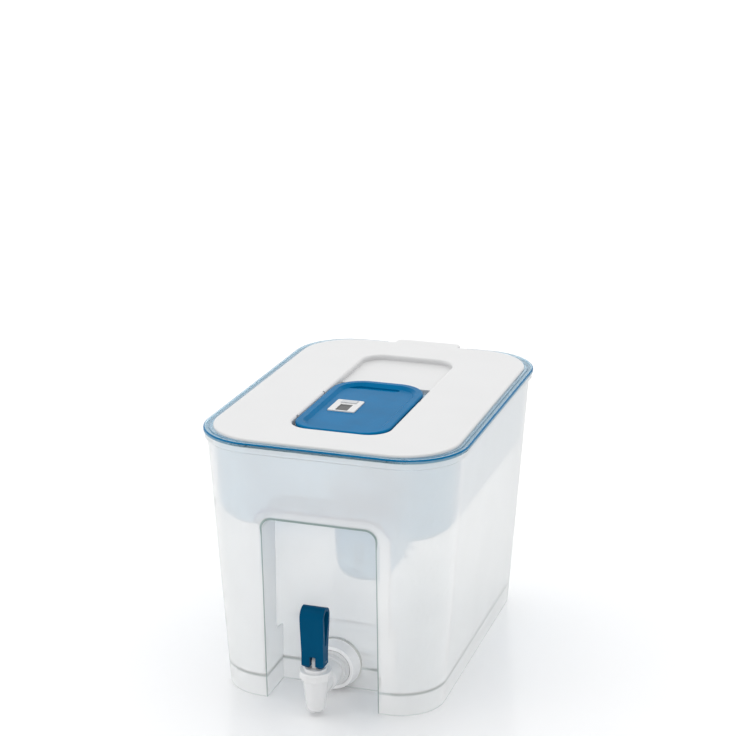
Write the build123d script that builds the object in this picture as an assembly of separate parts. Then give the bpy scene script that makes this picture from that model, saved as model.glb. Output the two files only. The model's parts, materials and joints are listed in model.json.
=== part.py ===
from build123d import *
import os
from math import atan2, cos, pi, radians, sin, tan

# Gravity water filter with a tap. Millimetres, +Z up, the tap faces -Y.
# The origin is the middle of the base, on the surface that the tank stands on.

# ---- tank ----
tank_height = 202.0
tank_rim_half_width = 98.2       # outside of the wall at the rim
tank_rim_half_length = 139.2
tank_rim_corner = 44.0
tank_draft_side = 3.8            # degrees, left and right walls
tank_draft_end = 2.8             # degrees, front and back walls
tank_base_corner = 35.0
tank_wall = 2.4
tank_lip_reach = 1.8             # how far the rim bead stands proud of the wall
tank_lip_height = 4.5
floor_height = 16.0              # underside of the floor, above the table
# ---- tap recess in the front wall and grip recess in the back wall ----
recess_half_width = 43.5
recess_height = 146.0
recess_corner = 8.0
recess_depth = 30.2              # tank's front at the rim to the upper panel of the tap recess
tap_bay_depth = 13.5             # upper panel to the lower one, which carries the tap
tap_bay_height = 52.0
tap_bay_corner = 6.0
grip_half_width = 38.5
grip_height = 143.2
grip_depth = 10.0
sump_half_width = 20.0
sump_length = 22.0
sump_floor = 6.0
# ---- hopper ----
hopper_depth = 69.6              # rim top to the underside of its floor
hopper_wall = 2.2
hopper_rim_height = 2.6          # above the tank rim
hopper_rim_overhang = 1.0        # beyond the tank's rim bead
hopper_rim_round = 1.1
hopper_side_gap = 3.5            # between the tank wall and the hopper wall at the rim
hopper_end_gap = 1.8
hopper_draft_side = 1.9          # degrees
hopper_draft_end = 2.2
hopper_bottom_round = 16.0
lid_ledge_width = 4.7            # ledge between the hopper wall and its raised bead
lid_ledge_depth = 0.8
rim_groove_width = 2.0
rim_groove_depth = 0.6
bridge_gap = 3.2                 # clearance over the tank's recess linings
bridge_corner = 13.0
tab_notch_half_width = 33.0
# ---- cartridge pocket in the hopper ----
socket_depth = 19.2              # floor of the hopper down to the cartridge seat
pocket_depth = 74.5              # underside of the hopper floor down to the pocket's underside
pocket_wall = 2.0
pocket_bottom_round = 16.0
seat_width = 1.6
socket_draft = 2.6               # degrees
pocket_draft = 4.3               # degrees
drain_slot_width = 1.3
drain_slot_length = 17.0
drain_slot_spacing = 5.2
drain_slot_rise = 9.5            # above the pocket's underside
# ---- cartridge ----
cartridge_rim_half_width = 26.0
cartridge_rim_half_length = 45.0
cartridge_rim_corner = 23.0
cartridge_rim_height = 9.6
cartridge_shoulder = 3.5
cartridge_body_depth = 44.0
cartridge_wall = 1.4
cartridge_draft = 2.2            # degrees
cartridge_bottom_round = 12.0
cartridge_gap = 0.6
dome_radius = 20.2
dome_half_length = 38.5
dome_wall = 1.5
window_half_width = 9.9
window_height = 13.5
window_corner = 4.0
window_sill = 3.4                # above the cover plate
window_panel_y = 24.0
window_frame = 1.5               # width and depth of the arch round the window
ramp_length = 15.5
ramp_toe = 0.4
inlet_slot_width = 1.6
inlet_slot_length = 10.0
inlet_slot_spacing = 6.2
pinch_half_length = 12.0
pinch_panel_x = 15.5
cover_plate = 1.8
cover_sink = 1.0                 # cover plate below the cup's rim
# ---- lid ----
lid_thickness = 2.2
lid_round = 1.4
lid_gap = 0.6
skirt_depth = 7.5
skirt_wall = 1.8
skirt_gap = 0.9
skirt_rib_width = 1.6
skirt_rib_height = 0.5
skirt_rib_pitch = 33.5
tab_half_width = 28.0
tab_reach = 10.5
well_half_width = 38.0
well_front_margin = 37.7         # lid's front edge to the well
well_back_margin = 39.9
well_corner = 17.0
well_depth = 13.0
well_wall = 1.8
well_round = 2.0
ledge_width = 3.4
shelf_drop = 4.0
shelf_thickness = 2.0
shelf_lip = 4.0
# ---- filling flap ----
flap_gap = 1.2
flap_length = 123.6
flap_thickness = 4.8
flap_taper = 0.8                 # the underside, in from the sides
flap_edge_round = 1.4
flap_front_corner = 20.0
flap_back_corner = 25.0
flap_rest_gap = 0.15
dish_border = 5.5
dish_depth = 2.2
dish_slope = 3.0
press_groove_length = 44.0
press_groove_width = 7.0
press_groove_depth = 1.2
press_groove_x = -7.0
pivot_back_distance = 37.6       # flap's back edge to its pivot rod
pivot_drop = 0.2                 # rod's centre below the flap's underside
pivot_relief = 12.0              # the side ledges stop this far in front of the rod
pivot_boss_wall = 1.4
pivot_boss_margin = 2.4          # outer bosses, in from the sides of the flap
pivot_boss_width = 4.0
middle_boss_x = -10.0
rod_radius = 1.3
rod_reach = 2.4                  # each end beyond the side of the flap
running_gap = 0.05
catch_nub_distance = 25.4        # flap's front edge to its side nubs
catch_nub_radius = 1.2
catch_nub_reach = 1.3
# ---- filter-change indicator in the flap ----
indicator_x = -12.5
indicator_distance = 62.0        # flap's front edge to the middle of the bezel
bezel_width = 21.5
bezel_length = 27.0
bezel_proud = 0.9
screen_width = 9.5
screen_length = 14.3
screen_border = 1.4
button_width = 12.4
button_length = 6.2
button_border = 1.8
button_travel = 0.6
tray_shift = 1.9                 # middle of the tray to the right of the bezel's
tray_width = 36.0
tray_length = 42.0
tray_depth = 6.5
battery_box_width = 20.0
battery_box_length = 37.0
battery_box_depth = 1.8
indicator_wall = 1.1
board_thickness = 1.0
coin_cell_radius = 10.0
coin_cell_height = 3.2
part_gap = 0.15                  # between pieces that only lie beside each other
# ---- tap ----
tap_axis_z = 20.5                # centre of the threaded shank
spout_reach = 48.0               # tank wall to the vertical axis of the spout
spout_bottom = 4.0
spout_bottom_radius = 6.9
spout_middle = 24.0
spout_middle_radius = 9.0
spout_top = 29.7
spout_top_radius = 9.6
spout_mouth_chamfer = 1.4
outlet_radius = 4.0
chamber_radius = 6.2
valve_seat_z = 13.5
inlet_radius = 4.2
neck_radius = 9.2
neck_top = 32.6
barrel_radius = 10.4
barrel_front_gap = 13.5          # spout's axis to the front of the barrel
barrel_round = 4.0
web_radius = 8.8                 # between barrel and spout
collar_radius = 12.0
collar_width = 4.7
flange_radius = 14.2
flange_width = 4.8
shank_radius = 8.0
shank_reach = 13.0               # behind the front of the tank wall
ring_nut_back_radius = 19.6
ring_nut_front_radius = 17.2
ring_nut_width = 9.5
ring_nut_bead = 1.0
ring_nut_recess = 4.0            # the body's flange sits this deep in the nut
ring_nut_teeth = 56
tooth_depth = 0.7
outer_washer_thickness = 3.0
outer_washer_radius = 20.0
inner_washer_thickness = 2.0
inner_washer_radius = 13.2
lock_nut_flats = 24.0
lock_nut_width = 5.5
bonnet_flats = 22.0
bonnet_disc_radius = 12.0
bonnet_disc_thickness = 2.0
bonnet_hub_radius = 8.5
bonnet_hub_height = 1.6
bonnet_top = 36.4
stem_radius = 2.0
stem_blade_thickness = 3.4
stem_blade_width = 7.0
pin_radius = 1.5
pin_z = 43.2
cup_radius = 5.2
# ---- tap lever ----
lever_half_width = 9.0
lever_foot_half_width = 8.5
lever_top = 86.5
lever_loop_radius = 7.4
lever_loop_lead = 1.3            # middle of the loop in front of the pin
lever_band = 2.6
lever_front_reach = 7.0          # pin to the front face of the feet
lever_back_reach = 3.6
lever_foot_drop = 4.4            # pin to the bottom of the feet
lever_cam_chamfer = 2.8
lever_back_chamfer = 1.2
lever_foot_chamfer = 2.4
lever_slot_half_width = 2.2
lever_slot_chamfer = 1.6
lever_slot_flare = 2.0
lever_slot_top = 48.6
lever_throat_z = 57.5

# ---- levels and places that follow from the sizes above ----
hopper_top = tank_height + hopper_rim_height
hopper_floor_under = hopper_top - hopper_depth
hopper_floor = hopper_floor_under + hopper_wall
ledge_top = hopper_top - lid_ledge_depth
lid_top = ledge_top + lid_thickness
seat_z = hopper_floor - socket_depth
pocket_under = hopper_floor_under - pocket_depth
rim_top = seat_z + cartridge_rim_height
plate_top = rim_top - cover_sink
sill_z = plate_top + window_sill
recess_panel_y = recess_depth - tank_rim_half_length
tap_wall_y = recess_panel_y + tap_bay_depth
inner_face_y = tap_wall_y + tank_wall
outer_washer_y = tap_wall_y - outer_washer_thickness
ring_nut_front_y = outer_washer_y - ring_nut_width
flange_back_y = ring_nut_front_y + ring_nut_recess
spout_axis_y = tap_wall_y - spout_reach


# Half width, half length and corner of the tank's outside at a height, less an inset.
def tank_plan(z, inset=0.0):
    fall = tank_height - z
    share = fall / tank_height
    return (
        tank_rim_half_width - fall * tan(radians(tank_draft_side)) - inset,
        tank_rim_half_length - fall * tan(radians(tank_draft_end)) - inset,
        tank_rim_corner + (tank_base_corner - tank_rim_corner) * share - inset,
    )


# The same for the hopper.
def hopper_plan(z, inset=0.0):
    fall = tank_height - z
    top = tank_plan(tank_height, tank_wall)
    return (
        top[0] - hopper_side_gap - fall * tan(radians(hopper_draft_side)) - inset,
        top[1] - hopper_end_gap - fall * tan(radians(hopper_draft_end)) - inset,
        top[2] - fall * 0.05 - inset,
    )


def hopper_rim_plan(inset=0.0):
    return tank_plan(tank_height, inset - tank_lip_reach - hopper_rim_overhang)


def bead_plan(gap=0.0):
    wall = hopper_plan(tank_height, hopper_wall)
    return tuple(size + lid_ledge_width - gap for size in wall)


lid_half_length = bead_plan(lid_gap)[1]
well_front_y = well_front_margin - lid_half_length
well_back_y = lid_half_length - well_back_margin
well_half_length = (well_back_y - well_front_y) / 2
well_y = (well_back_y + well_front_y) / 2
flap_under = lid_top - flap_thickness
ledge_z = flap_under - flap_rest_gap
flap_half_width = well_half_width - flap_gap
flap_half_length = flap_length / 2
flap_front_y = well_front_y + flap_gap
flap_y = flap_front_y + flap_half_length
flap_back_y = flap_y + flap_half_length
pivot_y = flap_back_y - pivot_back_distance
pivot_z = flap_under - pivot_drop
shelf_front_y = flap_back_y + 2.0
dish_floor = lid_top - dish_depth
indicator_y = flap_front_y + indicator_distance
tray_x = indicator_x + tray_shift
screen_y = indicator_y - (bezel_length - screen_length) / 2 + screen_border
button_y = indicator_y + (bezel_length - button_length) / 2 - button_border
board_low = flap_under - part_gap - board_thickness


def plan(half_width, half_length, corner, z, y=0.0):
    return Plane.XY.offset(z) * Pos(0, y) * RectangleRounded(2 * half_width, 2 * half_length, corner)


def slab(half_width, half_length, corner, low, high, y=0.0):
    return extrude(plan(half_width, half_length, corner, low, y), high - low)


def taper(low_size, low, high_size, high, y=0.0):
    return loft([plan(*low_size, low, y), plan(*high_size, high, y)], ruled=True)


def bottom_edges(solid):
    return solid.faces().sort_by(Axis.Z)[0].edges()


def top_edges(solid):
    return solid.faces().sort_by(Axis.Z)[-1].edges()


def box(low, high):
    size = [h - l for l, h in zip(low, high)]
    middle = [(h + l) / 2 for l, h in zip(low, high)]
    return Pos(*middle) * Box(*size)


# An opening with square feet and rounded top corners, pushed through along Y.
def portal(half_width, top, corner, near_y, far_y, bottom=-5.0):
    height = top - bottom
    outline = Pos(0, bottom) * Rectangle(2 * half_width, 2 * height)
    outline = outline & (Pos(0, bottom) * RectangleRounded(2 * half_width, 2 * height, corner))
    outline = outline & (Pos(0, bottom + height / 2) * Rectangle(2 * half_width, height))
    y_low, y_high = min(near_y, far_y), max(near_y, far_y)
    return extrude(Plane.XZ.offset(-y_low) * outline, -(y_high - y_low))


def cylinder_y(radius, y_low, y_high, z, x=0.0):
    return Pos(x, (y_low + y_high) / 2, z) * Rot(90, 0, 0) * Cylinder(radius, y_high - y_low)


def cylinder_x(radius, x_low, x_high, y, z):
    return Pos((x_low + x_high) / 2, y, z) * Rot(0, 90, 0) * Cylinder(radius, x_high - x_low)


def cylinder_z(radius, low, high, x=0.0, y=0.0):
    return Pos(x, y, (low + high) / 2) * Cylinder(radius, high - low)


def make_tank():
    floor_top = floor_height + tank_wall
    lip_low = tank_height - tank_lip_height
    body = taper(tank_plan(0), 0, tank_plan(tank_height), tank_height)
    lip_size = tank_plan(tank_height, -tank_lip_reach)
    lip = slab(*lip_size, lip_low, tank_height)
    lip += taper(tank_plan(lip_low - tank_lip_reach), lip_low - tank_lip_reach, lip_size, lip_low)
    lip = fillet(top_edges(lip), tank_lip_reach * 0.5)
    body += lip
    mouth = tank_plan(tank_height, tank_wall)
    body -= taper(tank_plan(floor_top, tank_wall), floor_top, mouth, tank_height)
    body -= taper(tank_plan(0, tank_wall), 0, tank_plan(floor_height, tank_wall), floor_height)
    outside = taper(tank_plan(0), 0, tank_plan(lip_low), lip_low)
    front, back = -tank_rim_half_length - 10, tank_rim_half_length + 10
    grip_y = tank_plan(grip_height)[1] - grip_depth
    bay = (recess_half_width, tap_bay_height, tap_bay_corner)
    recess = (recess_half_width, recess_height, recess_corner)
    grip = (grip_half_width, grip_height, recess_corner)
    linings = [
        portal(*[size + tank_wall for size in recess], front, recess_panel_y + tank_wall),
        portal(*[size + tank_wall for size in bay], front, tap_wall_y + tank_wall),
        portal(*[size + tank_wall for size in grip], grip_y - tank_wall, back),
    ]
    for lining in linings:
        body += lining & outside
    # A sump in the floor behind the tap, so that the last water reaches the inlet.
    sump_back = inner_face_y + sump_length
    body += box(
        (-sump_half_width - tank_wall, tap_wall_y, sump_floor - tank_wall),
        (sump_half_width + tank_wall, sump_back + tank_wall, floor_top),
    )
    body -= portal(*recess, front, recess_panel_y)
    body -= portal(*bay, front, tap_wall_y)
    body -= portal(*grip, grip_y, back)
    body -= box((-sump_half_width, inner_face_y, sump_floor), (sump_half_width, sump_back, floor_top))
    body -= cylinder_y(shank_radius + 0.3, tap_wall_y - 1, inner_face_y + 1, tap_axis_z)
    return body


def socket_plan(z, inset=0.0):
    grow = (z - seat_z) * tan(radians(socket_draft)) + cartridge_gap + pocket_wall - inset
    return (cartridge_rim_half_width + grow, cartridge_rim_half_length + grow, cartridge_rim_corner + grow)


def cartridge_rim_plan(inset=0.0):
    sizes = (cartridge_rim_half_width, cartridge_rim_half_length, cartridge_rim_corner)
    return tuple(size - inset for size in sizes)


def pocket_plan(z, inset=0.0):
    shrink = seat_width + (seat_z - z) * tan(radians(pocket_draft)) + inset - cartridge_gap - pocket_wall
    return cartridge_rim_plan(shrink)


def pocket_solid(inset):
    step_z = seat_z - 3.0 if inset == 0 else seat_z
    under = pocket_under + inset
    lower = taper(pocket_plan(under, inset), under, pocket_plan(step_z, inset), step_z)
    lower = fillet(bottom_edges(lower), pocket_bottom_round - inset)
    top = hopper_floor + 0.01
    upper = taper(socket_plan(seat_z, inset), seat_z, socket_plan(top, inset), top)
    if inset == 0:
        upper += taper(pocket_plan(step_z), step_z, socket_plan(seat_z), seat_z)
    return lower + upper


def make_hopper():
    outside = taper(
        hopper_plan(hopper_floor_under), hopper_floor_under, hopper_plan(tank_height), tank_height
    )
    outside = fillet(bottom_edges(outside), hopper_bottom_round)
    inside = taper(
        hopper_plan(hopper_floor, hopper_wall), hopper_floor,
        hopper_plan(ledge_top, hopper_wall), ledge_top,
    )
    inside = fillet(bottom_edges(inside), hopper_bottom_round - hopper_wall)
    rim = fillet(top_edges(slab(*hopper_rim_plan(), tank_height, hopper_top)), hopper_rim_round)
    rim -= slab(*bead_plan(), ledge_top, hopper_top)
    bead_width = hopper_rim_plan()[0] - bead_plan()[0]
    groove_out = hopper_rim_plan((bead_width - rim_groove_width) / 2)
    groove = slab(*groove_out, hopper_top - rim_groove_depth, hopper_top)
    groove_in = [size - rim_groove_width for size in groove_out]
    rim -= groove - slab(*groove_in, hopper_top - rim_groove_depth, hopper_top)
    # The bead is cut away at the back for the lid's lifting tab.
    notch_line = Polyline(
        (-tab_notch_half_width, tank_height), (tab_notch_half_width, tank_height),
        (tab_notch_half_width + hopper_rim_height, hopper_top + 1),
        (-tab_notch_half_width - hopper_rim_height, hopper_top + 1), close=True,
    )
    notch_y = hopper_plan(tank_height)[1] - hopper_wall - 1
    notch = extrude(Plane.XZ.offset(-notch_y) * make_face(notch_line), -40)
    rim -= notch
    body = outside + rim - inside
    # Bridges in the front and back of the floor step over the linings of the tank's recesses.
    grip_y = tank_plan(grip_height)[1] - grip_depth
    bridges = (
        (recess_half_width, recess_height, recess_panel_y + tank_wall + bridge_gap - 1.0, -1),
        (grip_half_width, grip_height, grip_y - tank_wall - bridge_gap, 1),
    )
    far = tank_rim_half_length + 10
    shell = taper(
        hopper_plan(hopper_floor_under), hopper_floor_under, hopper_plan(tank_height), tank_height
    )
    shell = fillet(bottom_edges(shell), hopper_bottom_round)
    arches = []
    for half_width, height, near_y, direction in bridges:
        arch = (half_width + tank_wall + bridge_gap + 1.4, height + tank_wall + bridge_gap, bridge_corner)
        lining = [size + hopper_wall for size in arch]
        body += portal(*lining, near_y - direction * hopper_wall, direction * far) & shell
        arches.append(portal(*arch, near_y, direction * far))
    for arch in arches:
        body -= arch
    body += pocket_solid(0.0)
    body -= pocket_solid(pocket_wall)
    slot_low = pocket_under + drain_slot_rise
    for side in (-1, 1):
        for place in (-1, 1):
            slot = Pos(place * drain_slot_spacing / 2, 0, slot_low + drain_slot_length / 2)
            wall_y = pocket_plan(slot_low)[1]
            body -= slot * Pos(0, side * wall_y, 0) * Box(drain_slot_width, 12, drain_slot_length)
    return body


def cup_plan(z, inset=0.0):
    shrink = cartridge_shoulder + (seat_z - z) * tan(radians(cartridge_draft)) + inset
    return cartridge_rim_plan(shrink)


def cup_solid(inset, top):
    under = seat_z - cartridge_body_depth + inset
    body = taper(cup_plan(under, inset), under, cup_plan(top, inset), top)
    return fillet(bottom_edges(body), cartridge_bottom_round - inset)


def make_cartridge_cup():
    rim = slab(*cartridge_rim_plan(), seat_z, rim_top)
    rim = fillet(bottom_edges(rim), 1.2)
    cup = cup_solid(0.0, seat_z + 0.5) + rim
    cup -= cup_solid(cartridge_wall, seat_z + cartridge_wall)
    cup -= slab(*cartridge_rim_plan(cartridge_wall), seat_z + cartridge_wall, rim_top)
    slot_z = seat_z - cartridge_body_depth + 14
    for side in (-1, 1):
        for place in (-1, 1):
            wall_y = cup_plan(slot_z)[1]
            cup -= Pos(place * drain_slot_spacing / 2, side * wall_y, slot_z) * Box(1.2, 8, 17)
    return cup


# The upper half of an egg lying along Y.
def half_egg(half_width, half_length, z):
    outline = Ellipse(half_width, half_length) & Pos(half_width, 0) * Rectangle(
        2 * half_width, 2 * half_length + 2)
    egg = Pos(0, 0, z) * revolve(outline, Axis.Y)
    return egg & box((-100, -100, z), (100, 100, z + 100))


def make_cartridge_cover():
    plate_low = plate_top - cover_plate
    cover = slab(*cartridge_rim_plan(cartridge_wall + part_gap), plate_low, plate_top)
    dome = half_egg(dome_radius, dome_half_length, plate_top)
    shell = dome - half_egg(dome_radius - dome_wall, dome_half_length - dome_wall, plate_top)
    pinch_low = plate_top + 3.0
    window_top = sill_z + window_height
    frame = (window_half_width + window_frame, window_top + window_frame, window_corner + window_frame)
    opening = Ellipse(dome_radius - dome_wall - 1, dome_half_length - dome_wall - 1)
    opening &= Rectangle(2 * dome_radius, 2 * (window_panel_y - dome_wall))
    cover -= extrude(Plane.XY.offset(plate_low) * opening, cover_plate)
    for side in (-1, 1):
        # Finger window: a flat panel in a raised arch, with a ramp in front of it.
        near_y = side * window_panel_y
        panel_y = near_y - side * dome_wall
        shell += portal(*frame, panel_y, near_y + side * window_frame, plate_top)
        shell -= portal(window_half_width, window_top, window_corner, near_y, side * 60, plate_top)
        toe_y = near_y + side * ramp_length
        ramp = Polyline(
            (panel_y, plate_low), (panel_y, sill_z), (near_y, sill_z),
            (toe_y, plate_top + ramp_toe), (toe_y, plate_low), close=True,
        )
        shell += extrude(Plane.YZ * make_face(ramp), frame[0], both=True)
        # Pinch faces left and right.
        near_x, far_x = side * pinch_panel_x, side * 40
        pocket_x = near_x - side * dome_wall
        shell += dome & box(
            (min(pocket_x, far_x), -pinch_half_length - dome_wall, pinch_low - dome_wall),
            (max(pocket_x, far_x), pinch_half_length + dome_wall, plate_top + 40),
        )
        shell -= box(
            (min(near_x, far_x), -pinch_half_length, pinch_low),
            (max(near_x, far_x), pinch_half_length, plate_top + 40),
        )
    cover += shell
    slot_y = window_panel_y + window_frame + 2.0 + inlet_slot_length / 2
    for side in (-1, 1):
        for place in (-1, 1):
            slot = Pos(place * inlet_slot_spacing / 2, side * slot_y, plate_top)
            cover -= slot * Box(inlet_slot_width, inlet_slot_length, 20)
    return cover


def make_filter_granules():
    low = seat_z - cartridge_body_depth + cartridge_wall + 1.4
    body = taper(cup_plan(low, cartridge_wall + 0.3), low, cup_plan(seat_z, cartridge_wall + 0.3), seat_z)
    return fillet(bottom_edges(body), cartridge_bottom_round - cartridge_wall - 1.6)


def make_inlet_screen():
    low = seat_z + 3.0
    return slab(*cartridge_rim_plan(cartridge_wall + part_gap), low, low + 0.8)


def make_lid():
    body = slab(*bead_plan(lid_gap), ledge_top, lid_top)
    body += slab(tab_half_width, tab_reach, 5.0, ledge_top, lid_top, lid_half_length)
    body = fillet(top_edges(body), lid_round)
    skirt_low = ledge_top - skirt_depth
    skirt_size = hopper_plan(skirt_low, hopper_wall + skirt_gap)
    skirt = slab(*skirt_size, skirt_low, ledge_top)
    skirt -= slab(*[size - skirt_wall for size in skirt_size], skirt_low, ledge_top)
    body += skirt
    # Guide ribs on the skirt.
    rib_middle = (skirt_low + ledge_top) / 2
    for side in (-1, 1):
        for place in (-1, 0, 1):
            rib = Pos(place * skirt_rib_pitch, side * skirt_size[1], rib_middle)
            body += rib * Box(skirt_rib_width, 2 * skirt_rib_height, skirt_depth)
        for place in (-53, -39, 22, 36):
            rib = Pos(side * skirt_size[0], place, rib_middle)
            body += rib * Box(2 * skirt_rib_height, skirt_rib_width, skirt_depth)
    well_low = lid_top - well_depth
    well = (well_half_width, well_half_length, well_corner)
    step_low = ledge_z - well_wall
    body += slab(*[size + well_wall for size in well], step_low, ledge_top, well_y)
    body += slab(*[size + well_wall - ledge_width for size in well], well_low, step_low, well_y)
    # Bosses in the well's sides that hold the ends of the flap's pivot rod.
    for side in (-1, 1):
        body += box(
            (side * (well_half_width + 2) - 3.5, pivot_y - 4.5, step_low - 2.5),
            (side * (well_half_width + 2) + 3.5, pivot_y + 4.5, ledge_top),
        )
    body -= slab(*well, ledge_z, lid_top, well_y)
    mouth = [
        edge for edge in body.edges()
        if abs(edge.center().Z - lid_top) < 0.01 and abs(edge.center().X) < well_half_width + 0.1
        and abs(edge.center().Y - well_y) < well_half_length + 0.1
    ]
    body = fillet(mouth, well_round)
    body -= slab(*[size - ledge_width for size in well], well_low, ledge_z, well_y)
    body -= box(
        (-well_half_width, pivot_y - pivot_relief, well_low - 1),
        (well_half_width, shelf_front_y, ledge_z + 1),
    )
    # The shelf behind the flap, with a lip along its front edge.
    shelf_top = lid_top - shelf_drop
    shelf = slab(*[size + 0.5 for size in well], shelf_top - shelf_thickness, shelf_top, well_y)
    lip = slab(*[size + 0.5 - ledge_width for size in well], shelf_top - shelf_lip, shelf_top, well_y)
    shelf += lip & box((-60, shelf_front_y, 0), (60, shelf_front_y + 2, 300))
    body += shelf & box((-60, shelf_front_y, 0), (60, 200, 300))
    # Open-topped saddles for the rod and grooves for the catch nubs.
    saddle = rod_radius + running_gap
    for side in (-1, 1):
        reach = side * (flap_half_width + rod_reach + 0.4)
        inner = side * (well_half_width - ledge_width - 1)
        x_low, x_high = min(reach, inner), max(reach, inner)
        body -= cylinder_x(saddle, x_low, x_high, pivot_y, pivot_z)
        body -= box((x_low, pivot_y - saddle, pivot_z), (x_high, pivot_y + saddle, lid_top + 1))
        groove = side * (well_half_width + 0.9)
        x_low, x_high = min(groove, inner), max(groove, inner)
        nub_y = flap_front_y + catch_nub_distance
        half = catch_nub_radius + 0.5
        body -= box((x_low, nub_y - half, ledge_z - 0.8), (x_high, nub_y + half, lid_top + 1))
    return body


def flap_plan(z, inset=0.0):
    outline = Rectangle(2 * (flap_half_width - inset), 2 * (flap_half_length - inset))
    outline = fillet(outline.vertices().group_by(Axis.Y)[0], flap_front_corner - inset)
    outline = fillet(outline.vertices().group_by(Axis.Y)[-1], flap_back_corner - inset)
    return Plane.XY.offset(z) * Pos(0, flap_y) * outline


def make_flap():
    mid_z = flap_under + flap_thickness / 2
    body = loft([flap_plan(flap_under, flap_taper), flap_plan(mid_z)], ruled=True)
    body += fillet(top_edges(extrude(flap_plan(mid_z), lid_top - mid_z)), flap_edge_round)
    floor_inset = dish_border + dish_slope
    body -= loft([flap_plan(dish_floor, floor_inset), flap_plan(lid_top, dish_border)], ruled=True)
    groove_y = flap_back_y - floor_inset - press_groove_width / 2 - 1
    groove = Pos(press_groove_x, groove_y) * SlotOverall(press_groove_length, press_groove_width)
    groove = flap_plan(0, floor_inset) & groove
    body -= extrude(Plane.XY.offset(dish_floor - press_groove_depth) * groove, press_groove_depth + 1)
    # Window for the indicator.
    body -= Pos(indicator_x, indicator_y, flap_under) * Box(
        bezel_width + 2 * part_gap, bezel_length + 2 * part_gap, 20)
    # Three bosses carry the pivot rod under the flap.
    boss_radius = rod_radius + pivot_boss_wall
    outer = flap_half_width - flap_taper - pivot_boss_margin - pivot_boss_width / 2
    for place in (-outer, middle_boss_x, outer):
        x_low, x_high = place - pivot_boss_width / 2, place + pivot_boss_width / 2
        body += cylinder_x(boss_radius, x_low, x_high, pivot_y, pivot_z)
        body += box(
            (x_low, pivot_y - boss_radius, pivot_z), (x_high, pivot_y + boss_radius, flap_under + 0.5)
        )
    body -= cylinder_x(rod_radius + running_gap, -60, 60, pivot_y, pivot_z)
    for side in (-1, 1):
        nub_x = side * (flap_half_width - flap_taper)
        low_x, high_x = nub_x - side * catch_nub_reach, nub_x + side * catch_nub_reach
        body += cylinder_x(
            catch_nub_radius, min(low_x, high_x), max(low_x, high_x),
            flap_front_y + catch_nub_distance, flap_under + catch_nub_radius - 0.5,
        )
    return body


def make_flap_hinge_rod():
    reach = flap_half_width + rod_reach
    rod = cylinder_x(rod_radius, -reach, reach, pivot_y, pivot_z)
    return chamfer(rod.edges().filter_by(GeomType.CIRCLE), 0.3)


def indicator_slab(x, width, length, corner, low, high):
    outline = Pos(x, indicator_y) * RectangleRounded(width, length, corner)
    return extrude(Plane.XY.offset(low) * outline, high - low)


def make_indicator_housing():
    tray_low = flap_under - tray_depth
    box_low = tray_low - battery_box_depth
    inset = 2 * indicator_wall
    housing = indicator_slab(tray_x, tray_width, tray_length, 4.0, tray_low, flap_under)
    housing += indicator_slab(tray_x, battery_box_width, battery_box_length, 3.0, box_low, tray_low)
    housing -= indicator_slab(
        tray_x, tray_width - inset, tray_length - inset, 2.9, tray_low + indicator_wall, flap_under
    )
    housing -= indicator_slab(
        tray_x, battery_box_width - inset, battery_box_length - inset, 1.9,
        box_low + indicator_wall, flap_under
    )
    return housing


def make_indicator_board():
    inset = 2 * indicator_wall + 2
    return indicator_slab(
        tray_x, tray_width - inset, tray_length - inset, 2.0, board_low, board_low + board_thickness
    )


def make_coin_cell():
    high = board_low - part_gap
    return cylinder_z(coin_cell_radius, high - coin_cell_height, high, tray_x, indicator_y)


def make_indicator_screen():
    low = flap_under
    high = dish_floor + bezel_proud - 0.5
    return Pos(indicator_x, screen_y, (low + high) / 2) * Box(screen_width, screen_length, high - low)


def make_indicator_bezel():
    low = flap_under
    bezel = indicator_slab(indicator_x, bezel_width, bezel_length, 1.5, low, dish_floor + bezel_proud)
    bezel = fillet(top_edges(bezel), 0.4)
    bezel -= Pos(indicator_x, screen_y, low) * Box(
        screen_width + 2 * part_gap, screen_length + 2 * part_gap, 20)
    bezel -= Pos(indicator_x, button_y, low) * Box(
        button_width + 2 * part_gap, button_length + 2 * part_gap, 20)
    return bezel


def make_indicator_button():
    low = flap_under + button_travel + 0.2
    high = dish_floor + bezel_proud + button_travel
    cap = Pos(indicator_x, button_y, (low + high) / 2) * Box(button_width, button_length, high - low)
    return fillet(top_edges(cap), 0.3)


def make_tap_body():
    # Spout: a tapered tube with a chamfered mouth, its neck carries the bonnet.
    profile = Polyline(
        (0, spout_bottom), (spout_bottom_radius - spout_mouth_chamfer, spout_bottom),
        (spout_bottom_radius, spout_bottom + spout_mouth_chamfer), (spout_middle_radius, spout_middle),
        (spout_top_radius, spout_top), (neck_radius, spout_top), (neck_radius, neck_top), (0, neck_top),
        close=True,
    )
    body = Pos(0, spout_axis_y) * revolve(Plane.XZ * make_face(profile), Axis.Z)
    flange_front = flange_back_y - flange_width
    barrel_front = spout_axis_y + barrel_front_gap
    barrel = cylinder_y(barrel_radius, barrel_front, flange_front, tap_axis_z)
    body += fillet(barrel.edges().sort_by(Axis.Y)[0], barrel_round)
    body += cylinder_y(web_radius, spout_axis_y, barrel_front + 1, tap_axis_z)
    body += cylinder_y(flange_radius, flange_front, flange_back_y, tap_axis_z)
    body += cylinder_y(collar_radius, flange_front - collar_width, flange_front, tap_axis_z)
    body += cylinder_y(shank_radius, flange_back_y, tap_wall_y + shank_reach, tap_axis_z)
    body -= cylinder_z(outlet_radius, 0, valve_seat_z + 1, 0, spout_axis_y)
    body -= cylinder_z(chamber_radius, valve_seat_z, neck_top, 0, spout_axis_y)
    body -= cylinder_y(inlet_radius, spout_axis_y, tap_wall_y + shank_reach, tap_axis_z)
    return body


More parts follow.
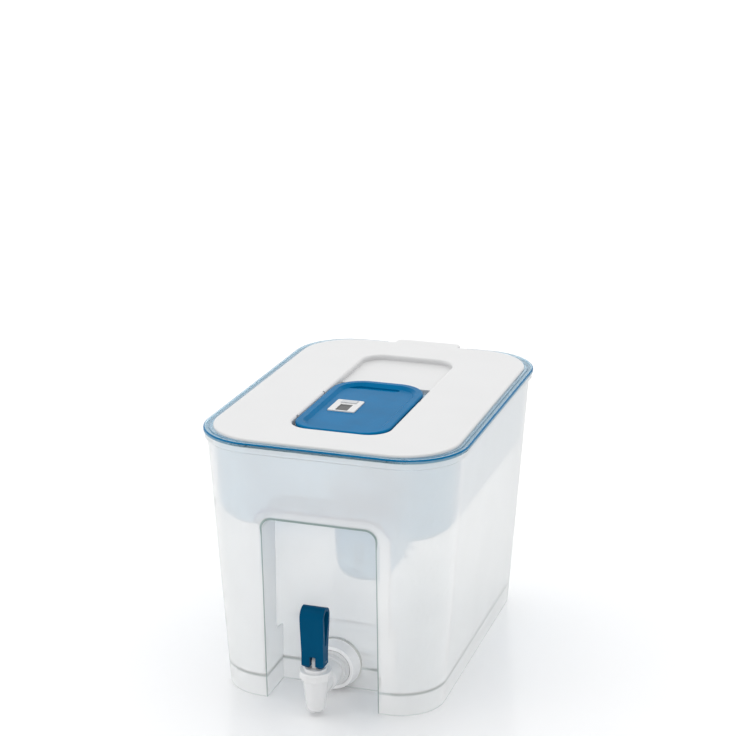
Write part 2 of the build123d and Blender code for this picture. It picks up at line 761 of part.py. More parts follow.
def star(outer_radius, teeth, depth, y):
    points = []
    for step in range(2 * teeth):
        radius = outer_radius - depth * (step % 2)
        angle = pi * step / teeth
        points.append((radius * cos(angle), radius * sin(angle)))
    face = make_face(Polyline(*points, close=True))
    return Plane.XZ.offset(-y) * Pos(0, tap_axis_z) * face


def make_tap_ring_nut():
    front_y, back_y = ring_nut_front_y, outer_washer_y
    nut = loft([
        star(ring_nut_front_radius, ring_nut_teeth, tooth_depth * 0.6, front_y + ring_nut_bead),
        star(ring_nut_back_radius, ring_nut_teeth, tooth_depth, back_y),
    ], ruled=True)
    nut += cylinder_y(ring_nut_front_radius, front_y, front_y + ring_nut_bead, tap_axis_z)
    nut -= cylinder_y(flange_radius + 0.3, front_y, flange_back_y, tap_axis_z)
    nut -= cylinder_y(shank_radius + running_gap, front_y, back_y + 1, tap_axis_z)
    return nut


def washer(radius, y_low, y_high):
    ring = cylinder_y(radius, y_low, y_high, tap_axis_z)
    return ring - cylinder_y(shank_radius + 0.2, y_low - 1, y_high + 1, tap_axis_z)


def make_lock_nut():
    low = inner_face_y + inner_washer_thickness
    hexagon = Plane.XZ.offset(-low) * Pos(0, tap_axis_z) * RegularPolygon(
        lock_nut_flats / 2, 6, major_radius=False)
    nut = extrude(hexagon, -lock_nut_width)
    return nut - cylinder_y(shank_radius + running_gap, low - 1, low + lock_nut_width + 1, tap_axis_z)


def make_tap_bonnet():
    disc_low = bonnet_top - bonnet_disc_thickness
    skirt_low = spout_top + 0.3
    octagon = Plane.XY.offset(skirt_low) * Pos(0, spout_axis_y) * RegularPolygon(
        bonnet_flats / 2, 8, major_radius=False, rotation=22.5)
    bonnet = extrude(octagon, disc_low - skirt_low)
    disc = cylinder_z(bonnet_disc_radius, disc_low, bonnet_top, 0, spout_axis_y)
    bonnet += fillet(top_edges(disc), 0.8)
    hub = cylinder_z(bonnet_hub_radius, bonnet_top - 0.5, bonnet_top + bonnet_hub_height, 0, spout_axis_y)
    bonnet += chamfer(top_edges(hub), 0.8)
    bonnet -= cylinder_z(neck_radius + running_gap, 0, disc_low, 0, spout_axis_y)
    bonnet -= cylinder_z(stem_radius + running_gap, 0, 60, 0, spout_axis_y)
    return bonnet


def make_bonnet_gasket():
    low, high = neck_top, bonnet_top - bonnet_disc_thickness
    ring = cylinder_z(neck_radius - 0.2, low, high, 0, spout_axis_y)
    return ring - cylinder_z(chamber_radius, low, high, 0, spout_axis_y)


def make_valve_stem():
    blade_low = bonnet_top + bonnet_hub_height + 0.4
    blade_top = pin_z + stem_blade_width / 2
    rod_low = valve_seat_z + 3.0
    stem = cylinder_z(stem_radius, rod_low, blade_low + 1, 0, spout_axis_y)
    half_blade = stem_blade_thickness / 2
    stem += box(
        (-half_blade, spout_axis_y - stem_blade_width / 2, blade_low),
        (half_blade, spout_axis_y + stem_blade_width / 2, pin_z),
    )
    stem += cylinder_x(stem_blade_width / 2, -half_blade, half_blade, spout_axis_y, pin_z)
    stem -= cylinder_x(pin_radius, -10, 10, spout_axis_y, pin_z)
    assert blade_top < lever_slot_top
    return stem


def make_lever_pin():
    reach = lever_foot_half_width - 0.4
    pin = cylinder_x(pin_radius, -reach, reach, spout_axis_y, pin_z)
    return chamfer(pin.edges().filter_by(GeomType.CIRCLE), 0.25)


def make_seat_cup():
    low = valve_seat_z + 0.02
    profile = Polyline(
        (0, low), (cup_radius - 0.8, low), (cup_radius, low + 0.9), (cup_radius - 0.6, low + 2.4),
        (3.6, low + 4.6), (3.6, low + 7.0), (0, low + 7.0), close=True,
    )
    cup = Pos(0, spout_axis_y) * revolve(Plane.XZ * make_face(profile), Axis.Z)
    return cup - cylinder_z(stem_radius, valve_seat_z + 3.0, valve_seat_z + 20, 0, spout_axis_y)


def make_tap_lever():
    loop_z = lever_top - lever_loop_radius
    foot_z = pin_z - lever_foot_drop
    front_y = spout_axis_y - lever_front_reach
    back_y = spout_axis_y + lever_back_reach
    # Side outline, drawn in the plane of Y and Z.
    loop_y = spout_axis_y - lever_loop_lead
    loop = Pos(loop_y, loop_z) * Circle(lever_loop_radius)
    shoulder_z = lever_slot_top + 3.5
    shank = Pos((front_y + back_y) / 2, shoulder_z) * Rectangle(back_y - front_y, 1.0)
    outline = make_hull(loop.edges() + shank.edges())
    feet = Polyline(
        (front_y, shoulder_z), (front_y, foot_z + lever_cam_chamfer), (front_y + lever_cam_chamfer, foot_z),
        (back_y - lever_back_chamfer, foot_z), (back_y, foot_z + lever_back_chamfer),
        (back_y, shoulder_z), close=True,
    )
    outline += make_face(feet)
    eye = Pos(loop_y, loop_z) * Circle(lever_loop_radius - lever_band)
    throat = Pos(loop_y - 0.4, lever_throat_z) * Circle(0.9)
    outline -= make_hull(eye.edges() + throat.edges())
    band = extrude(Plane.YZ * outline, lever_half_width, both=True)
    # Front outline: wide at the loop, narrower at the feet, corners eased.
    half_top, half_foot = lever_half_width, lever_foot_half_width
    face_line = Polyline(
        (-half_foot + lever_foot_chamfer, foot_z), (half_foot - lever_foot_chamfer, foot_z),
        (half_foot, foot_z + lever_foot_chamfer), (half_foot, shoulder_z), (half_top, loop_z - 6),
        (half_top, lever_top + 1), (-half_top, lever_top + 1), (-half_top, loop_z - 6),
        (-half_foot, shoulder_z), (-half_foot, foot_z + lever_foot_chamfer), close=True,
    )
    lever = band & extrude(Plane.XZ * make_face(face_line), 200, both=True)
    slot_line = Polyline(
        (-lever_slot_half_width - lever_slot_chamfer, foot_z),
        (lever_slot_half_width + lever_slot_chamfer, foot_z),
        (lever_slot_half_width, foot_z + lever_slot_flare), (lever_slot_half_width, lever_slot_top),
        (-lever_slot_half_width, lever_slot_top), (-lever_slot_half_width, foot_z + lever_slot_flare),
        close=True,
    )
    lever -= extrude(Plane.XZ * make_face(slot_line), 200, both=True)
    lever -= cylinder_x(pin_radius + running_gap, -20, 20, spout_axis_y, pin_z)
    return lever


pieces = {
    "tank": make_tank,
    "hopper": make_hopper,
    "cartridge_cup": make_cartridge_cup,
    "cartridge_cover": make_cartridge_cover,
    "filter_granules": make_filter_granules,
    "inlet_screen": make_inlet_screen,
    "lid": make_lid,
    "flap": make_flap,
    "flap_hinge_rod": make_flap_hinge_rod,
    "indicator_housing": make_indicator_housing,
    "indicator_board": make_indicator_board,
    "coin_cell": make_coin_cell,
    "indicator_screen": make_indicator_screen,
    "indicator_bezel": make_indicator_bezel,
    "indicator_button": make_indicator_button,
    "tap_body": make_tap_body,
    "tap_ring_nut": make_tap_ring_nut,
    "outer_washer": lambda: washer(outer_washer_radius, outer_washer_y, tap_wall_y),
    "inner_washer": lambda: washer(
        inner_washer_radius, inner_face_y, inner_face_y + inner_washer_thickness),
    "lock_nut": make_lock_nut,
    "tap_bonnet": make_tap_bonnet,
    "bonnet_gasket": make_bonnet_gasket,
    "valve_stem": make_valve_stem,
    "lever_pin": make_lever_pin,
    "seat_cup": make_seat_cup,
    "tap_lever": make_tap_lever,
}

os.makedirs("parts", exist_ok=True)
for name, make in pieces.items():
    shape = make()
    export_step(shape, f"parts/{name}.step")
    size = shape.bounding_box().size
    print(f"{name}: {size.X:.1f} x {size.Y:.1f} x {size.Z:.1f}, {shape.volume / 1000:.1f} cm3")
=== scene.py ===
import json
import math

import bmesh
import bpy
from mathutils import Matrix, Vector


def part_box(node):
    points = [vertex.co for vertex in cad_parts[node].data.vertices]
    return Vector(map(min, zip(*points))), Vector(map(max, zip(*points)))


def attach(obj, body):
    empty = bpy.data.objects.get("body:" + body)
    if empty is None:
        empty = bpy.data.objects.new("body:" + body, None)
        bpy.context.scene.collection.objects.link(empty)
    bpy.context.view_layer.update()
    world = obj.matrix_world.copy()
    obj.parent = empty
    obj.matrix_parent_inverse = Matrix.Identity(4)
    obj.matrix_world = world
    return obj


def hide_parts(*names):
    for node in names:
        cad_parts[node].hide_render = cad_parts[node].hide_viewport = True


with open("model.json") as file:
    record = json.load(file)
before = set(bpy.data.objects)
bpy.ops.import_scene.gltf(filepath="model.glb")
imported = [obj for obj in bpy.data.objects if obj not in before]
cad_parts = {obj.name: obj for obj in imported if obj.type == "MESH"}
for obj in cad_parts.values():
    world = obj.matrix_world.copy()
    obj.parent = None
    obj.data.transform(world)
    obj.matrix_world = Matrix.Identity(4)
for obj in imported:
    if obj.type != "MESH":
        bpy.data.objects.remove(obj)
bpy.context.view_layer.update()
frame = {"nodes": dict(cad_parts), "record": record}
nodes = frame["nodes"]
record = frame["record"]
scene = bpy.context.scene
bodies = record["behaviour"]["bodies"]
bodyOf = {node: body for body, members in bodies.items() for node in members}
mm = 0.001
print("stage: frame loaded,", len(nodes), "CAD nodes")


def newMaterial(name):
    material = bpy.data.materials.new(name)
    material.use_nodes = True
    return material, material.node_tree.nodes, material.node_tree.links


def setInputs(node, values):
    for name, value in values.items():
        node.inputs[name].default_value = value


# Noise that stays put on the part, because it reads Object coordinates.
def grain(tree, links, scale, detail=3.0, rough=0.6):
    coord = tree.new("ShaderNodeTexCoord")
    noise = tree.new("ShaderNodeTexNoise")
    setInputs(noise, {"Scale": scale, "Detail": detail, "Roughness": rough})
    links.new(coord.outputs["Object"], noise.inputs["Vector"])
    return noise.outputs["Fac"]


def ramp(tree, links, source, low, high, start=0.35, end=0.65):
    colours = tree.new("ShaderNodeValToRGB")
    for stop, place, colour in zip(colours.color_ramp.elements, (start, end), (low, high)):
        stop.position = place
        stop.color = (*colour, 1)
    links.new(source, colours.inputs["Fac"])
    return colours.outputs["Color"]


def blend(tree, links, share, start, end):
    mix = tree.new("ShaderNodeMix")
    mix.data_type = "RGBA"
    links.new(share, mix.inputs["Factor"])
    links.new(start, mix.inputs["A"])
    mix.inputs["B"].default_value = (*end, 1)
    return mix.outputs["Result"]


# One step of arithmetic. Each value is a number or a socket.
def calc(tree, links, operation, *values, clamp=False):
    step = tree.new("ShaderNodeMath")
    step.operation = operation
    step.use_clamp = clamp
    for socket, value in zip(step.inputs, values):
        if isinstance(value, (int, float)):
            socket.default_value = value
        else:
            links.new(value, socket)
    return step.outputs["Value"]


# Turns one range of values into another, and holds the ends.
def spread(tree, links, source, fromMin, fromMax, toMin, toMax, interpolation="LINEAR"):
    scale = tree.new("ShaderNodeMapRange")
    scale.interpolation_type = interpolation
    setInputs(scale, {"From Min": fromMin, "From Max": fromMax, "To Min": toMin, "To Max": toMax})
    links.new(source, scale.inputs["Value"])
    return scale.outputs["Result"]


def fineBump(tree, links, shader, scale, strength, distance=0.5 * mm):
    height = tree.new("ShaderNodeBump")
    setInputs(height, {"Strength": strength, "Distance": distance})
    links.new(grain(tree, links, scale, detail=2.0), height.inputs["Height"])
    links.new(height.outputs["Normal"], shader.inputs["Normal"])


# The lines in the tank's plastic, in millimetres: around the tap recess and along the top of the
# skirt, and painted contact shade at the foot.
recessLines = {
    "half": 43.5, "top": 146, "corner": 8,         # the recess's outline in the front wall
    "depth": 28.5,                                 # from the tank's front, how deep the line reaches
    "bare": 0.08,                                  # the recess's own walls stay clear
    "thick": 2.4, "thickBelow": 4,                 # the line's width near the recess's top
    "thin": 1.1, "thinBelow": 14,                  # and lower down
    "solid": 0.6, "edgeShare": 1.0,                # the share of the width that doesn't fade
    "skirt": 17.2, "skirtSolid": 0.7, "skirtEnd": 1.4, "skirtShare": 0.45,    # height, half widths
    "footSolid": 0.4, "footEnd": 1.1, "footShadeShare": 0.6,                       # heights
}


def tankLines(tree, links, look):
    coord = tree.new("ShaderNodeTexCoord")
    axes = tree.new("ShaderNodeSeparateXYZ")
    links.new(coord.outputs["Object"], axes.inputs["Vector"])
    across, deep, up = [calc(tree, links, "DIVIDE", axis, mm) for axis in axes.outputs]
    # The gap to the recess's outline, which has round upper corners: below 0 inside the recess.
    inset = look["corner"]
    side = calc(tree, links, "SUBTRACT", calc(tree, links, "ABSOLUTE", across), look["half"] - inset)
    top = calc(tree, links, "SUBTRACT", up, look["top"] - inset)
    sideOut = calc(tree, links, "MAXIMUM", side, 0.0)
    topOut = calc(tree, links, "MAXIMUM", top, 0.0)
    far = calc(tree, links, "SQRT",
               calc(tree, links, "ADD", calc(tree, links, "MULTIPLY", sideOut, sideOut),
                    calc(tree, links, "MULTIPLY", topOut, topOut)))
    near = calc(tree, links, "MINIMUM", calc(tree, links, "MAXIMUM", side, top), 0.0)
    gap = calc(tree, links, "SUBTRACT", calc(tree, links, "ADD", far, near), inset)
    width = spread(tree, links, up, look["top"] - look["thinBelow"],
                   look["top"] - look["thickBelow"], look["thin"], look["thick"])
    share = calc(tree, links, "DIVIDE", gap, width)
    drawn = spread(tree, links, share, look["solid"], 1.0, look["edgeShare"], 0.0)
    low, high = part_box("tank")
    front = calc(tree, links, "MULTIPLY",
                 calc(tree, links, "LESS_THAN", deep, low.y / mm + look["depth"]),
                 calc(tree, links, "GREATER_THAN", gap, look["bare"]))
    edge = calc(tree, links, "MULTIPLY", drawn, front)
    rise = calc(tree, links, "ABSOLUTE", calc(tree, links, "SUBTRACT", up, look["skirt"]))
    band = spread(tree, links, rise, look["skirtSolid"], look["skirtEnd"], look["skirtShare"], 0.0)
    # Painted contact shade along the tank's foot, where it meets the floor.
    foot = spread(tree, links, up, look["footSolid"], look["footEnd"], look["footShadeShare"], 0.0)
    return calc(tree, links, "MAXIMUM", edge, calc(tree, links, "MAXIMUM", band, foot))


# The clear plastics. "skin" is the clear surface, "milk" the cloudy colour of the outer faces and
# "inner" that of the inner ones, where the tank's is a lighter copy that paints its inside as more
# brightly lit, mixed in by "veil". The plastic's tint gathers to "line", mixed in by "lineVeil"; the
# same colour paints shade on upright corners and at the tank's foot. "shade" tints the lamps' light,
# "open" is how far other light passes straight through, and "soak" and "density" are the tint of the
# length looked through.
clearShared = {
    "ior": 1.45, "grainScale": 500, "bump": 0.01, "cloud": 18, "mottle": 0.03,
    "milkRoughness": 0.3, "milkSpecular": 0.05,
    "uprightTo": 0.1, "levelFrom": 0.6,         # upward lean of a face that still counts as upright
    "cornerFrom": 0.04, "cornerTo": 0.45,       # turn between two walls
}
clearLooks = {
    "tankClear": {
        "skin": (1.0, 1.0, 1.0), "roughness": 0.1, "shade": (0.96, 0.962, 0.965), "open": 0.8,
        # The tank's inner colour is lighter than its milk: painted light on the inside.
        "milk": (0.95, 0.95, 0.948), "inner": (1.0, 1.0, 0.995), "veil": 0.6,
        "line": (0.3, 0.37, 0.35), "lineVeil": 0.85, "lines": recessLines,
        "sideStart": 0.74, "sideEnd": 0.9, "sideShare": 0.4, "roundShare": 0.7, "cornerShadeShare": 0.12,
        "soak": (0.3, 0.58, 0.54), "density": 5,
    },
    "trayClear": {
        "skin": (0.88, 0.925, 0.945), "roughness": 0.18, "shade": (0.78, 0.9, 0.97), "open": 0.0,
        "milk": (0.5, 0.78, 0.92), "inner": (0.5, 0.78, 0.92), "veil": 0.1,
        "line": (0.002, 0.14, 0.31), "lineVeil": 0.95,
        "sideStart": 0.71, "sideEnd": 0.86, "sideShare": 0.9, "roundShare": 1.0, "cornerShadeShare": 0.5,
        "soak": (0.0, 0.55, 0.82), "density": 108,
    },
}


# How far the tint gathers, 0 to 1: on tight rounds, on outer walls seen from the side and along
# the drawn lines, which end in painted contact shade at the tank's foot. Upright corners get painted
# shade. Level faces stay clear.
def gatheredTintAndShade(tree, links, look, inside):
    outer = calc(tree, links, "SUBTRACT", 1.0, inside)
    rounds = tree.new("ShaderNodeAttribute")
    rounds.attribute_name = "edgeLine"
    tight = calc(tree, links, "MULTIPLY", rounds.outputs["Fac"], look["roundShare"])
    coord = tree.new("ShaderNodeTexCoord")
    turn = tree.new("ShaderNodeSeparateXYZ")
    links.new(coord.outputs["Normal"], turn.inputs["Vector"])
    facing = tree.new("ShaderNodeLayerWeight")
    slope = spread(tree, links, facing.outputs["Facing"], look["sideStart"], look["sideEnd"],
                   0.0, 1.0)
    upright = spread(tree, links, turn.outputs["Z"], look["uprightTo"], look["levelFrom"],
                     look["sideShare"], 0.0)
    side = calc(tree, links, "MULTIPLY", slope, calc(tree, links, "MULTIPLY", outer, upright))
    # Painted shade on upright corners, the darker the more the face turns between two walls.
    both = calc(tree, links, "ABSOLUTE",
                calc(tree, links, "MULTIPLY", turn.outputs["X"], turn.outputs["Y"]))
    corner = calc(tree, links, "MULTIPLY", outer,
                  spread(tree, links, both, look["cornerFrom"], look["cornerTo"],
                         0.0, look["cornerShadeShare"]))
    line = calc(tree, links, "MAXIMUM", calc(tree, links, "MAXIMUM", side, tight), corner)
    if "lines" in look:
        line = calc(tree, links, "MAXIMUM", line, tankLines(tree, links, look["lines"]))
    return line


# A see-through moulded plastic. It bends and veils what is behind it and takes its tint from the
# length of plastic that is looked through; lamps reach what is inside. Painted shade darkens its
# upright corners.
def clearPlastic(name, look):
    look = {**clearShared, **look}
    material, tree, links = newMaterial(name)
    output = tree["Material Output"]
    shader = tree["Principled BSDF"]
    setInputs(shader, {"Base Color": (*look["skin"], 1), "Roughness": look["roughness"],
                       "IOR": look["ior"], "Transmission Weight": 1.0})
    fineBump(tree, links, shader, look["grainScale"], look["bump"])
    inside = tree.new("ShaderNodeAttribute")
    inside.attribute_name = "inward"
    line = gatheredTintAndShade(tree, links, look, inside.outputs["Fac"])
    milk = tree.new("ShaderNodeBsdfPrincipled")
    setInputs(milk, {"Roughness": look["milkRoughness"], "Specular IOR Level": look["milkSpecular"]})
    low = [part * (1 - look["mottle"]) for part in look["milk"]]
    cloud = ramp(tree, links, grain(tree, links, look["cloud"], detail=2.0), low, look["milk"])
    # Inward faces take the inner colour, for the tank a lighter copy of the milk that paints light.
    tint = blend(tree, links, inside.outputs["Fac"], cloud, look["inner"])
    links.new(blend(tree, links, line, tint, look["line"]), milk.inputs["Base Color"])
    # The veil lies on the faces that are met from outside the plastic, and not on the way out.
    share = spread(tree, links, line, 0.0, 1.0, look["veil"], look["lineVeil"])
    shape = tree.new("ShaderNodeNewGeometry")
    outside = calc(tree, links, "SUBTRACT", 1.0, shape.outputs["Backfacing"])
    veil = tree.new("ShaderNodeMixShader")
    links.new(calc(tree, links, "MULTIPLY", share, outside), veil.inputs["Fac"])
    links.new(shader.outputs["BSDF"], veil.inputs[1])
    links.new(milk.outputs["BSDF"], veil.inputs[2])
    path = tree.new("ShaderNodeLightPath")
    gate = calc(tree, links, "MULTIPLY_ADD", path.outputs["Is Diffuse Ray"], look["open"],
                path.outputs["Is Shadow Ray"], clamp=True)
    through = tree.new("ShaderNodeBsdfTransparent")
    setInputs(through, {"Color": (*look["shade"], 1)})
    passing = tree.new("ShaderNodeMixShader")
    links.new(gate, passing.inputs["Fac"])
    links.new(veil.outputs["Shader"], passing.inputs[1])
    links.new(through.outputs["BSDF"], passing.inputs[2])
    links.new(passing.outputs["Shader"], output.inputs["Surface"])
    soak = tree.new("ShaderNodeVolumeAbsorption")
    setInputs(soak, {"Color": (*look["soak"], 1), "Density": look["density"]})
    links.new(soak.outputs["Volume"], output.inputs["Volume"])
    return material


# The opaque finishes. A look says only where it differs from the shared values.
opaqueShared = {
    "metal": 0.0, "coat": 0.0, "coatRoughness": 0.06, "specular": 0.5, "mottle": 0.01, "cloud": 30,
    "worn": 60, "uneven": 0.15, "grainScale": 1400, "bump": 0.02,
}
opaqueLooks = {
    "lidPlastic": {"colour": (0.625, 0.627, 0.63), "roughness": 0.32},
    "cartridgePlastic": {"colour": (0.91, 0.9, 0.89), "roughness": 0.36},
    "tapPlastic": {"colour": (0.76, 0.765, 0.77), "roughness": 0.25, "coat": 0.1},
    "ringPlastic": {"colour": (0.95, 0.95, 0.955), "roughness": 0.3},
    "flapPlastic": {"colour": (0.0, 0.14, 0.325), "roughness": 0.3, "specular": 0.03,
                    "mottle": 0.08},
    "leverPlastic": {"colour": (0.0, 0.066, 0.15), "roughness": 0.3, "specular": 0.03,
                     "mottle": 0.08},
    "buttonPlastic": {"colour": (0.5, 0.52, 0.54), "roughness": 0.4},
    "washerRubber": {"colour": (0.62, 0.62, 0.6), "roughness": 0.7, "bump": 0.08},
    "granuleCarbon": {"colour": (0.03, 0.03, 0.03), "roughness": 0.8, "mottle": 0.5, "bump": 0.6,
                      "grainScale": 300},
    "boardLacquer": {"colour": (0.02, 0.16, 0.06), "roughness": 0.45},
    "displayFilm": {"colour": (0.06, 0.062, 0.062), "roughness": 0.3, "specular": 0.15},
    "rodSteel": {"colour": (0.6, 0.61, 0.62), "roughness": 0.3, "metal": 1.0},
}


# Faint mottling, a slightly uneven gloss and a fine spark-eroded grain.
def opaqueFinish(name, look):
    look = {**opaqueShared, **look}
    material, tree, links = newMaterial(name)
    shader = tree["Principled BSDF"]
    setInputs(shader, {"Metallic": look["metal"], "Specular IOR Level": look["specular"],
                       "Coat Weight": look["coat"], "Coat Roughness": look["coatRoughness"]})
    low = [max(0.0, part * (1 - look["mottle"])) for part in look["colour"]]
    high = [min(1.0, part * (1 + look["mottle"])) for part in look["colour"]]
    cloud = ramp(tree, links, grain(tree, links, look["cloud"]), low, high)
    links.new(cloud, shader.inputs["Base Color"])
    rub = spread(tree, links, grain(tree, links, look["worn"], detail=4.0), 0.0, 1.0,
                 look["roughness"] * (1 - look["uneven"]), look["roughness"] * (1 + look["uneven"]))
    links.new(rub, shader.inputs["Roughness"])
    fineBump(tree, links, shader, look["grainScale"], look["bump"])
    return material


finishes = {name: opaqueFinish(name, look) for name, look in opaqueLooks.items()}
finishes.update({name: clearPlastic(name, look) for name, look in clearLooks.items()})
print("stage: materials made")


def dress(piece, node, finish):
    piece.data.materials.append(finishes[finish])
    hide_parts(node)
    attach(piece, bodyOf[node])


# For the smooth copies: lengths in millimetres, the angle in degrees.
smoothing = {"merge": 0.002, "collapse": 0.001, "sharp": 32, "wideRadius": 7, "tightRadius": 3,
             "leastWidth": 0.05}


# How much a face is part of a tight round: 0 from the wide radius up, 1 from the tight one down.
def tightness(face):
    bend = 0.0
    for edge in face.edges:
        if not edge.is_manifold:
            continue
        other = [each for each in edge.link_faces if each is not face][0]
        along = (edge.verts[1].co - edge.verts[0].co).normalized()
        apart = other.calc_center_median() - face.calc_center_median()
        width = (apart - along * apart.dot(along)).length / mm
        angle = face.normal.angle(other.normal, 0.0)
        if angle < math.radians(smoothing["sharp"]):
            bend = max(bend, angle / max(width, smoothing["leastWidth"]))
    wide, tight = 1 / smoothing["wideRadius"], 1 / smoothing["tightRadius"]
    return min(1.0, max(0.0, (bend - wide) / (tight - wide)))


# Each visible node is shown by a merged, smooth-shaded copy: edges sharper than the limit stay
# crisp, and broad faces keep their own normals. Its faces say how tight they bend and whether they
# look inward, for the clear plastics.
def smoothCopy(node, finish):
    shape = bmesh.new()
    shape.from_mesh(nodes[node].data)
    bmesh.ops.remove_doubles(shape, verts=shape.verts, dist=smoothing["merge"] * mm)
    bmesh.ops.dissolve_degenerate(shape, edges=shape.edges, dist=smoothing["collapse"] * mm)
    line = shape.faces.layers.float.new("edgeLine")
    inward = shape.faces.layers.float.new("inward")
    sharp = math.radians(smoothing["sharp"])
    for face in shape.faces:
        face.smooth = True
        face[line] = tightness(face)
        middle = face.calc_center_median()
        face[inward] = float(face.normal.x * middle.x + face.normal.y * middle.y < 0)
    for edge in shape.edges:
        edge.smooth = edge.is_manifold and edge.calc_face_angle(math.pi) < sharp
    data = bpy.data.meshes.new(node + "Skin")
    shape.to_mesh(data)
    shape.free()
    piece = bpy.data.objects.new(node + "Skin", data)
    scene.collection.objects.link(piece)
    weigh = piece.modifiers.new("broadFaces", "WEIGHTED_NORMAL")
    weigh.keep_sharp = True
    dress(piece, node, finish)


# Which finish each visible node's smooth copy gets, and each hidden node that is shown as it is.
shown = {
    "tank": "tankClear", "hopper": "trayClear",
    "cartridge_cup": "cartridgePlastic", "cartridge_cover": "cartridgePlastic",
    "lid": "lidPlastic", "flap": "flapPlastic", "indicator_housing": "flapPlastic",
    "indicator_screen": "displayFilm", "indicator_bezel": "lidPlastic",
    "indicator_button": "buttonPlastic", "tap_body": "tapPlastic", "outer_washer": "washerRubber",
    "inner_washer": "washerRubber", "lock_nut": "tapPlastic", "tap_bonnet": "tapPlastic",
    "tap_lever": "leverPlastic", "flap_hinge_rod": "rodSteel",
}
kept = {
    "filter_granules": "granuleCarbon", "inlet_screen": "cartridgePlastic",
    "indicator_board": "boardLacquer", "coin_cell": "rodSteel", "bonnet_gasket": "washerRubber",
    "valve_stem": "tapPlastic", "lever_pin": "rodSteel", "seat_cup": "washerRubber",
}
for node, finish in shown.items():
    smoothCopy(node, finish)
for node, finish in kept.items():
    nodes[node].material_slots[0].material = finishes[finish]
print("stage: smooth pieces made")

# The ring nut, in millimetres: a cone from the CAD nut's full width down to "narrow", with a bead, a
# well for the tap's flange and a bore. Its place, length and width come from the CAD nut.
ringLook = {"narrow": 17.2, "bead": 1.0, "edge": 0.3, "well": 14.5, "wellDepth": 4.0, "bore": 8.05,
            "rows": 10, "teeth": 116, "press": 0.4, "sharp": 25}


# Turned about the tap's axis, then pressed in at every other crossing for a diamond knurl.
def ringNut(look):
    low, high = [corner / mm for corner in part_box("tap_ring_nut")]
    wide, back, front, axis = high.x, high.y, low.y, (low.z + high.z) / 2
    count, narrow, wellEnd = look["rows"], look["narrow"], front + look["wellDepth"]
    pitch = (back - front - look["bead"]) / count
    cone = [(wide + (narrow - wide) * row / count, back - pitch * row) for row in range(count + 1)]
    profile = [(look["bore"], back), *cone,
               (narrow, front + look["edge"]), (narrow - look["edge"], front),
               (look["well"], front), (look["well"], wellEnd), (look["bore"], wellEnd)]
    shape = bmesh.new()
    points = [shape.verts.new((radius * mm, deep * mm, 0)) for radius, deep in profile]
    edges = [shape.edges.new(pair) for pair in zip(points, points[1:] + points[:1])]
    bmesh.ops.spin(shape, geom=points + edges, cent=(0, 0, 0), axis=(0, 1, 0), angle=math.tau,
                   steps=look["teeth"], use_merge=True)
    bmesh.ops.recalc_face_normals(shape, faces=shape.faces)
    for point in shape.verts:
        radius = math.hypot(point.co.x, point.co.z) / mm
        row = (back - point.co.y / mm) / pitch
        if radius < narrow - look["edge"] / 2 or not 0.5 < row < count - 0.5:
            continue
        tooth = math.atan2(point.co.z, point.co.x) / math.tau * look["teeth"]
        if (round(tooth) + round(row)) % 2:
            scale = 1 - look["press"] / radius
            point.co.x *= scale
            point.co.z *= scale
    bmesh.ops.translate(shape, verts=shape.verts, vec=(0, 0, axis * mm))
    for face in shape.faces:
        face.smooth = True
    for edge in shape.edges:
        edge.smooth = edge.calc_face_angle(math.pi) < math.radians(look["sharp"])
    data = bpy.data.meshes.new("ringNut")
    shape.to_mesh(data)
    shape.free()
    piece = bpy.data.objects.new("ringNut", data)
    scene.collection.objects.link(piece)
    dress(piece, "tap_ring_nut", "ringPlastic")


ringNut(ringLook)
print("stage: ring nut made")

stageLook = {"floor": 60.0, "colour": (0.9, 0.9, 0.905), "roughness": 0.14}


def makeFloor(look):
    data = bpy.data.meshes.new("floor")
    shape = bmesh.new()
    bmesh.ops.create_grid(shape, x_segments=1, y_segments=1, size=look["floor"] / 2)
    shape.to_mesh(data)
    shape.free()
    floor = bpy.data.objects.new("floor", data)
    scene.collection.objects.link(floor)
    material, tree, _ = newMaterial("paleFloor")
    setInputs(tree["Principled BSDF"],
              {"Base Color": (*look["colour"], 1), "Roughness": look["roughness"]})
    data.materials.append(material)


makeFloor(stageLook)

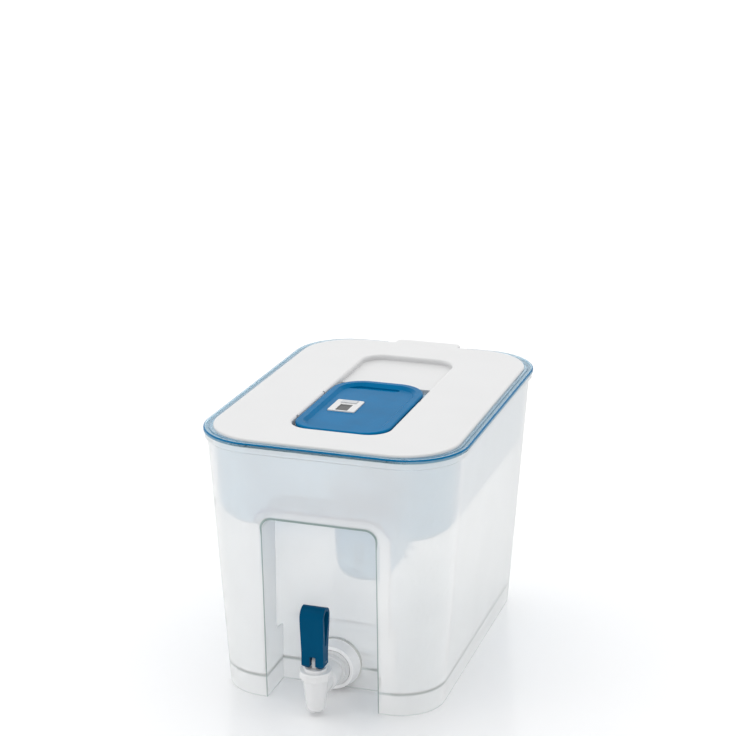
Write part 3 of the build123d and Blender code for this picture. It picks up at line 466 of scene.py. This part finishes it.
# Place, aim, size and watts of each lamp.
lampRows = {
    "keyLight": ((1.2, -2.4, 0.8), (0, 0, 0.2), 1.3, 12),
    "leftLight": ((-2.0, -1.4, 0.9), (0, 0, 0.25), 1.0, 8),
}


def areaLight(name, place, target, size, watts):
    data = bpy.data.lights.new(name, "AREA")
    data.shape = "SQUARE"
    data.size = size
    data.energy = watts
    lamp = bpy.data.objects.new(name, data)
    lamp.location = place
    lamp.rotation_euler = (Vector(target) - Vector(place)).to_track_quat("-Z", "Y").to_euler()
    scene.collection.objects.link(lamp)


for name, row in lampRows.items():
    areaLight(name, *row)

# Strengths of the studio's walls, and the directions between which they change.
worldLook = {"front": 0.55, "frontEnd": -0.9, "back": 1.3, "backEnd": 0.4,
             "above": 0.12, "aboveStart": 0.2, "right": -0.17}


# A studio tent: brightest overhead and behind, dimmer at the front and on the right.
def makeWorld(look):
    world = bpy.data.worlds.new("studio")
    scene.world = world
    world.use_nodes = True
    tree, links = world.node_tree.nodes, world.node_tree.links
    coord = tree.new("ShaderNodeTexCoord")
    axes = tree.new("ShaderNodeSeparateXYZ")
    links.new(coord.outputs["Generated"], axes.inputs["Vector"])
    across, deep, up = axes.outputs
    depth = spread(tree, links, deep, look["frontEnd"], look["backEnd"], look["front"], look["back"],
                   interpolation="SMOOTHSTEP")
    above = spread(tree, links, up, look["aboveStart"], 1.0, 0.0, look["above"])
    total = calc(tree, links, "MULTIPLY_ADD", across, look["right"],
                 calc(tree, links, "ADD", depth, above))
    links.new(total, tree["Background"].inputs["Strength"])
    setInputs(tree["Background"], {"Color": (1, 1, 1, 1)})


makeWorld(worldLook)

cameraView = {"place": (0.4184, -1.2946, 0.6403), "yaw": 18.18, "pitch": 16.97, "lens": 89.97,
              "sensor": 36.0}


def makeCamera(look):
    data = bpy.data.cameras.new("camera")
    data.sensor_width = look["sensor"]
    data.lens = look["lens"]
    camera = bpy.data.objects.new("camera", data)
    camera.location = look["place"]
    camera.rotation_euler = (math.radians(90 - look["pitch"]), 0, math.radians(look["yaw"]))
    scene.collection.objects.link(camera)
    scene.camera = camera


makeCamera(cameraView)
scene.view_settings.view_transform = "Standard"
print("stage: floor, light and camera")
